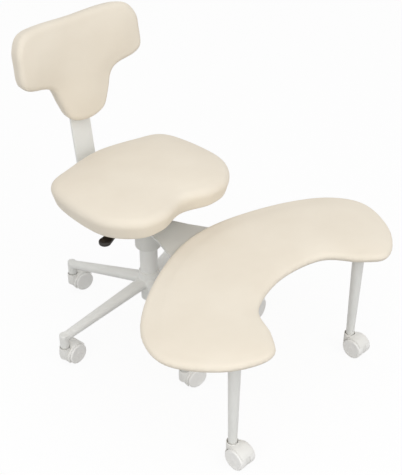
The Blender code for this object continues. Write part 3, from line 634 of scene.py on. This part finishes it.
def pad_blank(name, half, spine, thickness, crown, edge_top, edge_low, drawn_in):
    """The cushion before it swells, face up: sides drawn in below and a crown towards its spine."""
    outline = inward(smooth_outline(half, OUTLINE_STEPS), EDGE_SWELL)
    top = thickness - TOP_SWELL
    levels = []
    for step in range(EDGE_STEPS + 1):
        angle = math.pi / 2 * step / EDGE_STEPS
        inset = drawn_in + edge_low * (1.0 - math.sin(angle))
        levels.append((inward(outline, inset), edge_low * (1.0 - math.cos(angle))))
    for step in range(EDGE_STEPS + 1):
        angle = EDGE_SWEEP * step / EDGE_STEPS
        edge = inward(outline, edge_top * (1.0 - math.cos(angle)))
        height = top - crown - edge_top * (1.0 - math.sin(angle))
        levels.append((edge, height))
    targets = [nearest_on_spine(point, spine) for point in edge]
    for step in range(1, CROWN_STEPS + 1):
        share = CROWN_END * step / CROWN_STEPS
        points = [point.lerp(there, share) for point, there in zip(edge, targets)]
        levels.append((points, height + (top - height) * (1.0 - (1.0 - share) ** 2)))
    work = bmesh.new()
    rows = []
    for points, height in levels:
        rows.append([work.verts.new((*point, height)) for point in points])
    count = len(outline)
    for low, high in zip(rows, rows[1:]):
        for i in range(count):
            work.faces.new((low[i - 1], low[i], high[i], high[i - 1]))
    work.faces.new(list(reversed(rows[0])))
    work.faces.new(rows[-1])
    return finished(work, name)


def evened(mesh, values, turns):
    """Average a value at each point over its neighbours, so that the cover stays taut."""
    count = len(values)
    first, second = np.array([edge.vertices[:] for edge in mesh.edges]).T
    shares = np.bincount(first, minlength=count) + np.bincount(second, minlength=count)
    for _ in range(turns):
        total = np.bincount(first, values[second], count) + np.bincount(second, values[first], count)
        values = total / shares
    return values


def soften_crown(mesh, shoulder):
    """Run the creases of the crown into one even rise."""
    heights = np.array([vert.co.z for vert in mesh.vertices])
    rises = evened(mesh, np.clip(heights - shoulder, 0.0, None), CROWN_TURNS)
    for vert, height, rise in zip(mesh.vertices, heights, rises):
        vert.co.z = min(height, shoulder) + rise


def bow_forward(mesh, bow, thickness):
    """Curve a pad's wings forward, its rear kept flat where the board lies."""
    reach = max(vert.co.x for vert in mesh.vertices)
    for vert in mesh.vertices:
        across = abs(vert.co.x)
        face = (across / reach) ** 2
        rear = (max(0.0, across - FLAT_REAR) / (reach - FLAT_REAR)) ** 2
        share = max(0.0, min(1.0, vert.co.z / thickness))
        vert.co.z += bow * (rear + (face - rear) * share)


def swell(thing):
    """Blow the cover up like cloth over foam, held at its underside and never drawn in."""
    held = thing.vertex_groups.new(name="held")
    starts = [vert.co.copy() for vert in thing.data.vertices]
    outward = [vert.normal.copy() for vert in thing.data.vertices]
    for index, place in enumerate(starts):
        free = (place.z - HELD_BELOW) / (FREE_ABOVE - HELD_BELOW)
        held.add([index], 1.0 - max(0.0, min(1.0, free)), "REPLACE")
    cloth = thing.modifiers.new("swell", "CLOTH")
    cloth.settings.use_pressure = True
    cloth.settings.uniform_pressure_force = CLOTH_PRESSURE
    cloth.settings.vertex_group_mass = "held"
    cloth.settings.effector_weights.gravity = 0.0
    scene = bpy.context.scene
    for number in range(1, CLOTH_FRAMES + 1):
        scene.frame_set(number)
    applied(thing)
    scene.frame_set(1)
    moved = zip(thing.data.vertices, starts, outward)
    rises = [(vert.co - start).dot(normal) for vert, start, normal in moved]
    rises = evened(thing.data, np.clip(rises, 0.0, SWELL_CAP), SWELL_TURNS)
    for vert, start, normal, rise in zip(thing.data.vertices, starts, outward, rises):
        vert.co = start + normal * rise
    return thing


def pocket_mesh(board):
    """The space that a board takes up in its cushion, with a little play."""
    pocket = NODES[board].data.copy()
    grown = bmesh.new()
    grown.from_mesh(pocket)
    bmesh.ops.remove_doubles(grown, verts=grown.verts, dist=CAD_SAME_POINT)
    grown.normal_update()
    for vert in grown.verts:
        vert.co += vert.normal * PLAY * vert.calc_shell_factor()
    grown.to_mesh(pocket)
    grown.free()
    return pocket


def add_cushion(name, body, place, half, spine, form, board, bow=0.0):
    """One upholstered cushion in place of its plain solid, with a pocket for its board."""
    thickness, crown = form[:2]
    cushion = new_object(name, pad_blank(name, half, spine, *form))
    remeshed(cushion, CLOTH_CELL, FIRST_SOFTEN)
    soften_crown(cushion.data, thickness - TOP_SWELL - crown)
    swell(cushion)
    add_softening(cushion, LAST_SOFTEN)
    fine = cushion.modifiers.new("fine", "SUBSURF")
    fine.levels = 1
    fine.render_levels = 1
    applied(cushion)
    bow_forward(cushion.data, bow, thickness)
    cushion.data.transform(place)
    combined(cushion, [("DIFFERENCE", pocket_mesh(board))])
    shaded(cushion.data)
    add_piece(cushion, body, "upholstery", name.replace("_cushion", "_pad"))


def add_cushions():
    """Seat, footrest and back."""
    seat_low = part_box("seat_board")[0].z
    foot_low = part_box("footrest_board")[0].z
    seat_place = seat_frame() @ Matrix.Translation((0.0, 0.0, seat_low))
    foot_place = Matrix.Translation((*COLUMN, foot_low))
    back_place = back_frame()
    add_cushion("seat_cushion", "seat", seat_place, SEAT_HALF, SEAT_SPINE, SEAT_FORM, "seat_board")
    add_cushion(
        "footrest_cushion", "footrest", foot_place, FOOT_HALF, FOOT_SPINE, FOOT_FORM, "footrest_board"
    )
    add_cushion(
        "back_cushion", "seat", back_place, BACK_HALF, BACK_SPINE, BACK_FORM, "back_board", BACK_BOW
    )


def add_base():
    """Hub, arms and caster sockets welded into one frame."""
    low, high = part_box("base_hub")
    bore = half_width("column_tube")
    base = new_object("base_frame", drum("base_frame", half_width("base_hub"), low.z, high.z, HUB_ROUND))
    base.data.transform(AT_COLUMN)
    root = Vector((*COLUMN, (low.z + high.z) / 2))
    ground = Vector((*COLUMN, 0.0))
    above = Vector((*COLUMN, CAD_BOX[1][2]))
    joins = []
    cuts = [("DIFFERENCE", tapered("bore", ground, above, bore, bore, ROUND_SIDES))]
    nodes = ["base_hub"]
    for number in range(1, BASE_ARMS + 1):
        arm_name = "base_arm_%d" % number
        stem = Vector(JOINTS["base_caster_%d_swivel" % number]["pos_m"])
        end = Vector((stem.x, stem.y, SOCKET_TOP - ARM_END_RADIUS * ARM_FLATNESS))
        arm = tapered("arm", root, end, ARM_ROOT_RADIUS, ARM_END_RADIUS, flatness=ARM_FLATNESS)
        joins.append(("UNION", arm))
        socket = drum("socket", SOCKET_RADIUS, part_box(arm_name)[0].z, SOCKET_TOP, SOCKET_ROUND)
        socket.transform(Matrix.Translation((stem.x, stem.y, 0.0)))
        joins.append(("UNION", socket))
        stem_top = Vector((stem.x, stem.y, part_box("base_caster_%d_stem" % number)[1].z))
        floor = Vector((stem.x, stem.y, 0.0))
        cuts.append(("DIFFERENCE", tapered("stem_hole", floor, stem_top, STEM_BORE, STEM_BORE)))
        nodes.append(arm_name)
    combined(base, joins)
    remeshed(base, WELD_CELL, WELD_TURNS)
    combined(base, cuts)
    shaded(base.data)
    add_piece(base, "base", "white_paint", *nodes)


def tube_profile(low, high, outer, inner, soft):
    """A tube's wall as a closed profile with softened outer ends."""
    middle = (low + high) / 2
    points = [(inner, middle), (inner, high), (outer, high), (outer, low), (inner, low), (inner, middle)]
    return rounded(points, soft)[:-1]


def add_column():
    """Column, swing collar, support ring and gas cylinder as smooth turned pieces."""
    column = half_width("column_tube")
    tubes = (
        ("column_tube", "base", "white_paint", column - COLUMN_WALL, COLUMN_ROUND),
        ("support_ring", "base", "white_paint", column, COLUMN_ROUND),
        # The collar takes the darker copy of the paint, as painted shade under the seat
        ("swing_collar", "footrest", "arm_painted_shade", COLLAR_BORE, COLLAR_ROUND),
    )
    for name, body, finish, inner, soft in tubes:
        low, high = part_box(name)
        profile = tube_profile(low.z, high.z, half_width(name), inner, soft)
        mesh = turned(name + "_smooth", profile, closed=True)
        mesh.transform(AT_COLUMN)
        add_piece(new_object(name + "_smooth", mesh), body, "white_paint", name, finish=finish)
    low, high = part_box("gas_cylinder")
    mesh = drum("gas_cylinder_smooth", half_width("gas_cylinder"), low.z, high.z, COLUMN_ROUND)
    mesh.transform(AT_COLUMN)
    add_piece(new_object("gas_cylinder_smooth", mesh), "seat", "steel", "gas_cylinder")


def bevelled(name, width, body, finish):
    """A flat CAD piece with its edges softened."""
    work = bmesh.new()
    work.from_mesh(NODES[name].data)
    bmesh.ops.remove_doubles(work, verts=work.verts, dist=CAD_SAME_POINT)
    bmesh.ops.dissolve_limit(work, angle_limit=FLAT, verts=work.verts, edges=work.edges)
    piece = new_object(name + "_soft_edged", finished(work, name + "_soft_edged"))
    soft_edged(piece, width, BEVEL_SEGMENTS)
    shaded(piece.data)
    add_piece(piece, body, "white_paint", name, finish=finish)


def add_legs():
    """Footrest legs: tapered tubes with a flange under the board."""
    for side in ("left", "right"):
        name = "footrest_leg_" + side
        low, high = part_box(name)
        middle = (low + high) / 2
        flange = half_width(name)
        below = high.z - FLANGE_THICKNESS
        stem_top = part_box("footrest_caster_%s_stem" % side)[1].z
        profile = [
            (0.0, high.z),
            (flange, high.z),
            (flange, below),
            (LEG_TOP_RADIUS, below),
            (LEG_END_RADIUS, low.z),
            (STEM_BORE, low.z),
            (STEM_BORE, stem_top),
            (0.0, stem_top),
        ]
        mesh = turned(name + "_smooth", rounded(profile, LEG_ROUND))
        mesh.transform(Matrix.Translation((middle.x, middle.y, 0.0)))
        add_piece(new_object(name + "_smooth", mesh), "footrest", "white_paint", name)


def about_axle(mesh, flip=0.0):
    """Turn a shape made about Z so that it lies along the axle, the caster's Y, or the other way."""
    turn = Matrix.Rotation(flip, 4, "Z") @ Matrix.Rotation(-math.pi / 2, 4, "X")
    mesh.transform(Matrix.Translation((TRAIL, 0.0, WHEEL_RADIUS)) @ turn)
    return mesh


def wheel_mesh():
    """One wheel about Z, its outer face slightly dished with a small cap."""
    face = WHEEL_OUTER - DISH_DEPTH
    dish = WHEEL_RADIUS - TREAD_ROUND - DISH_RIM
    middle = (WHEEL_INNER + WHEEL_OUTER) / 2
    bore = STUB_RADIUS + PLAY
    outside = [
        (0.0, WHEEL_OUTER),
        (WHEEL_CAP_RADIUS, WHEEL_OUTER),
        (WHEEL_CAP_RADIUS + DISH_DEPTH, face),
        (dish, face),
        (dish + DISH_DEPTH, WHEEL_OUTER),
        (WHEEL_RADIUS, WHEEL_OUTER),
        (WHEEL_RADIUS, middle),
    ]
    inside = [
        (WHEEL_RADIUS, middle),
        (WHEEL_RADIUS, WHEEL_INNER),
        (bore, WHEEL_INNER),
        (bore, WHEEL_OUTER - TREAD_ROUND),
        (0.0, WHEEL_OUTER - TREAD_ROUND),
    ]
    return turned("wheel", rounded(outside, TREAD_ROUND) + rounded(inside, INNER_ROUND)[1:])


def half_space(name, place, tilt):
    """A large block whose top face passes through a point, tipped about Y."""
    turn = Matrix.Translation(place) @ Matrix.Rotation(-tilt, 4, "Y")
    work = bmesh.new()
    bmesh.ops.create_cube(work, size=CUT_BLOCK)
    bmesh.ops.translate(work, verts=work.verts, vec=(0.0, 0.0, -CUT_BLOCK / 2))
    bmesh.ops.transform(work, matrix=turn, verts=work.verts)
    return finished(work, name)


def hood_mesh():
    """Caster hood: mudguard, boss with a cup for the leg, middle web and axle stubs."""
    guard = drum("guard", WELL_RADIUS + HOOD_SHELL, -HOOD_OUTER, HOOD_OUTER, HOOD_ROUND)
    hood = new_object("hood", about_axle(guard))
    far = PAST_CASTER
    axle = (TRAIL, 0.0, WHEEL_RADIUS)
    cup_floor = HOOD_TOP - CUP_DEPTH
    groove = [(CUP_INNER, far), (CUP_OUTER, far), (CUP_OUTER, cup_floor), (CUP_INNER, cup_floor)]
    stub_end = WHEEL_OUTER - TREAD_ROUND - DISH_DEPTH
    bore_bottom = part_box("base_caster_1_stem")[0].z - PLAY
    combined(hood, [
        ("DIFFERENCE", half_space("below_lip", axle, HOOD_TILT)),
        ("UNION", drum("boss", BOSS_RADIUS, WHEEL_RADIUS - BOSS_BELOW_AXLE, HOOD_TOP, BOSS_ROUND)),
        ("UNION", about_axle(drum("web", WEB_RADIUS, -WEB_HALF, WEB_HALF))),
        ("DIFFERENCE", half_space("near_floor", (0.0, 0.0, WEB_ABOVE_FLOOR), 0.0)),
        ("DIFFERENCE", about_axle(drum("well", WELL_RADIUS, WEB_HALF, far))),
        ("DIFFERENCE", about_axle(drum("well", WELL_RADIUS, -far, -WEB_HALF))),
        ("UNION", about_axle(drum("stubs", STUB_RADIUS, -stub_end, stub_end))),
        ("DIFFERENCE", turned("groove", groove, closed=True)),
        ("DIFFERENCE", drum("stem_hole", STEM_BORE, bore_bottom, far)),
    ])
    mesh = shaded(hood.data)
    bpy.data.objects.remove(hood, do_unlink=True)
    return mesh


def add_casters():
    """Seven casters: a hood on its swivel and two wheels on their axle."""
    hood = hood_mesh()
    wheel = wheel_mesh()
    names = ["base_caster_%d" % number for number in range(1, BASE_ARMS + 1)]
    names += ["footrest_caster_left", "footrest_caster_right"]
    for name in names:
        stem = Vector(JOINTS[name + "_swivel"]["pos_m"])
        axle = Vector(JOINTS[name + "_roll_left"]["axis"])
        turn = math.atan2(-axle.x, axle.y)
        place = Matrix.Translation((stem.x, stem.y, 0.0)) @ Matrix.Rotation(turn, 4, "Z")
        shell = new_object(name + "_hood_smooth", hood.copy())
        shell.data.transform(place)
        add_piece(shell, name, "white_plastic", name + "_hood")
        for side, flip in (("left", 0.0), ("right", math.pi)):
            disc = about_axle(wheel.copy(), flip)
            disc.transform(place)
            node_name = "%s_wheel_%s" % (name, side)
            piece = new_object(node_name + "_smooth", disc)
            # The wheels take the lighter copy of the plastic, as painted light on their faces
            add_piece(piece, node_name, "white_plastic", node_name, finish="wheel_plastic_painted_light")


def lever_place():
    """Where the lever's own frame stands: X out along its rod, from the column's axis."""
    pivot = Vector(JOINTS["lever_lift"]["pos_m"])
    out = Vector((0.0, 0.0, 1.0)).cross(Vector(JOINTS["lever_lift"]["axis"]))
    return Matrix.Translation((*COLUMN, pivot.z)) @ Matrix.Rotation(math.atan2(out.y, out.x), 4, "Z")


def add_lever():
    """Rounded black grip on the height lever."""
    half = PADDLE_WIDTH / 2
    outline = [(PADDLE_START, PADDLE_NECK / 2), (PADDLE_START, -PADDLE_NECK / 2)]
    for step in range(PADDLE_STEPS + 1):
        angle = -math.pi / 2 + math.pi * step / PADDLE_STEPS
        outline.append((PADDLE_END - half + half * math.cos(angle), half * math.sin(angle)))
    work = bmesh.new()
    face = work.faces.new([work.verts.new((x, y, -PADDLE_THICKNESS / 2)) for x, y in outline])
    top = bmesh.ops.extrude_face_region(work, geom=[face])["geom"]
    lifted = [item for item in top if isinstance(item, bmesh.types.BMVert)]
    bmesh.ops.translate(work, verts=lifted, vec=(0.0, 0.0, PADDLE_THICKNESS))
    paddle = new_object("lever_grip", finished(work, "lever_grip"))
    soft_edged(paddle, PADDLE_ROUND, PADDLE_SEGMENTS)
    paddle.data.transform(lever_place())
    shaded(paddle.data)
    add_piece(paddle, "lever", "black_plastic", "lever_paddle")


def bolt_mesh():
    """A hexagon head on a washer, standing on its seat."""
    washer = drum("bolt", WASHER_RADIUS, 0.0, WASHER_HEIGHT, WASHER_HEIGHT / 3, FASTENER_SIDES)
    bolt = new_object("bolt", washer)
    low = Vector((0.0, 0.0, WASHER_HEIGHT / 2))
    high = Vector((0.0, 0.0, WASHER_HEIGHT + BOLT_HEIGHT))
    combined(bolt, [("UNION", tapered("hexagon", low, high, BOLT_RADIUS, BOLT_RADIUS, HEXAGON))])
    mesh = bolt.data
    bpy.data.objects.remove(bolt, do_unlink=True)
    return mesh


def screw_mesh():
    """A pan head with a cross recess, standing on its seat."""
    head = drum("screw", SCREW_RADIUS, 0.0, SCREW_HEIGHT, SCREW_HEIGHT / 2, FASTENER_SIDES)
    screw = new_object("screw", head)
    cuts = []
    for size in ((CROSS_LENGTH, CROSS_WIDTH), (CROSS_WIDTH, CROSS_LENGTH)):
        work = bmesh.new()
        bmesh.ops.create_cube(work, size=1.0)
        bmesh.ops.scale(work, verts=work.verts, vec=(*size, 2 * CROSS_DEPTH))
        bmesh.ops.translate(work, verts=work.verts, vec=(0.0, 0.0, SCREW_HEIGHT))
        cuts.append(("DIFFERENCE", finished(work, "cross")))
    combined(screw, cuts)
    mesh = screw.data
    bpy.data.objects.remove(screw, do_unlink=True)
    return mesh


def add_set(name, body, shape, places):
    """Copies of one fastener at several places, as one piece."""
    work = bmesh.new()
    for place in places:
        copy = shape.copy()
        copy.transform(place)
        work.from_mesh(copy)
    add_piece(new_object(name, finished(work, name)), body, "steel")


def add_fasteners():
    """Bolts that hold the mechanism, the bar and the back, and screws that hold the footrest."""
    down = Matrix.Rotation(math.pi, 4, "X")
    plate_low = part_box("seat_board")[0].z - BOARD_GAP - MECHANISM_PLATE
    bar_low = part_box("back_bar")[0].z
    spots = [(*spot, plate_low) for spot in MECHANISM_BOLTS]
    spots += [(*spot, bar_low) for spot in BAR_BOLTS]
    places = [seat_frame() @ Matrix.Translation(spot) @ down for spot in spots]
    bar_rear = -BOARD_GAP - BAR_THICKNESS
    places += [back_frame() @ Matrix.Translation((*spot, bar_rear)) @ down for spot in BACK_BOLTS]
    add_set("seat_bolts", "seat", bolt_mesh(), places)
    arm_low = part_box("arm_plate")[0].z
    places = [AT_COLUMN @ Matrix.Translation((*spot, arm_low)) @ down for spot in PLATE_SCREWS]
    for side in ("left", "right"):
        low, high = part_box("footrest_leg_" + side)
        middle = (low + high) / 2
        for number in range(FLANGE_SCREWS):
            angle = math.tau * (number + 0.5) / FLANGE_SCREWS
            x = middle.x + FLANGE_SCREW_CIRCLE * math.cos(angle)
            y = middle.y + FLANGE_SCREW_CIRCLE * math.sin(angle)
            places.append(Matrix.Translation((x, y, high.z - FLANGE_THICKNESS)) @ down)
    add_set("footrest_screws", "footrest", screw_mesh(), places)


def seen_directly(tree):
    """1 for rays from the camera, a reflection or a see-through piece, 0 for light on the object."""
    rays = tree.nodes.new("ShaderNodeLightPath").outputs
    seen = rays["Is Camera Ray"]
    for kind in ("Is Glossy Ray", "Is Transmission Ray"):
        seen = node(tree, "ShaderNodeMath", {0: seen, 1: rays[kind]}, operation="MAXIMUM").outputs[0]
    return seen


def add_floor():
    """A plain white floor that keeps a faint shadow."""
    mesh = bpy.data.meshes.new("floor")
    work = bmesh.new()
    bmesh.ops.create_grid(work, x_segments=1, y_segments=1, size=FLOOR_HALF)
    work.to_mesh(mesh)
    work.free()
    floor = new_object("floor", mesh)
    material = bpy.data.materials.new("floor")
    material.use_nodes = True
    tree = material.node_tree
    tree.nodes.remove(tree.nodes["Principled BSDF"])
    seen = seen_directly(tree)
    tone = ranged(tree, seen, FLOOR_BOUNCE, FLOOR_TONE)
    ground = node(tree, "ShaderNodeBsdfDiffuse", {"Color": tone})
    white = node(tree, "ShaderNodeEmission", {"Strength": 1.0})
    share = ranged(tree, seen, 0.0, FLOOR_GLOW)
    mixed = node(tree, "ShaderNodeMixShader", {0: share, 1: ground.outputs[0], 2: white.outputs[0]})
    tree.links.new(mixed.outputs[0], tree.nodes["Material Output"].inputs["Surface"])
    mesh.materials.append(material)


def add_light():
    """A pale surround, brighter overhead, and two broad lamps in front of the chair."""
    world = bpy.data.worlds.new("studio")
    bpy.context.scene.world = world
    world.use_nodes = True
    tree = world.node_tree
    backdrop = tree.nodes["Background"]
    backdrop.inputs["Color"].default_value = (1.0, 1.0, 1.0, 1.0)
    way = node(tree, "ShaderNodeTexCoord", {}).outputs["Generated"]
    height = node(tree, "ShaderNodeSeparateXYZ", {"Vector": way}).outputs["Z"]
    sky = ranged(tree, height, SKY_LOW, SKY_HIGH)
    strength = ranged(tree, seen_directly(tree), sky, 1.0)
    tree.links.new(strength, backdrop.inputs["Strength"])
    for name, place, size, power in LAMPS:
        lamp = bpy.data.lights.new(name, "AREA")
        lamp.size = size
        lamp.energy = power
        holder = bpy.data.objects.new(name, lamp)
        bpy.context.scene.collection.objects.link(holder)
        holder.location = place
        holder.rotation_euler = (CAMERA_AIM - Vector(place)).to_track_quat("-Z", "Y").to_euler()


def add_camera():
    """The photograph's viewpoint."""
    data = bpy.data.cameras.new("camera")
    data.lens = CAMERA_LENS
    data.sensor_width = CAMERA_SENSOR
    data.clip_end = CAMERA_CLIP
    camera = bpy.data.objects.new("camera", data)
    bpy.context.scene.collection.objects.link(camera)
    flat = math.cos(CAMERA_ELEVATION)
    back = Vector((
        math.sin(CAMERA_AZIMUTH) * flat,
        -math.cos(CAMERA_AZIMUTH) * flat,
        math.sin(CAMERA_ELEVATION),
    ))
    camera.location = CAMERA_AIM + back * CAMERA_DISTANCE
    camera.rotation_euler = back.to_track_quat("Z", "Y").to_euler()
    bpy.context.scene.camera = camera


add_camera()
dress_frame()
add_cushions()
add_base()
add_column()
# The arm plate takes the darker copy of the paint, as painted shade under the seat
bevelled("arm_plate", PLATE_BEVEL, "footrest", "arm_painted_shade")
bevelled("back_bar", BAR_BEVEL, "seat", "white_paint")
bevelled("seat_mechanism", MECHANISM_BEVEL, "seat", "white_paint")
add_legs()
add_casters()
add_lever()
add_fasteners()
add_floor()
add_light()
bpy.context.scene.view_settings.view_transform = "Standard"
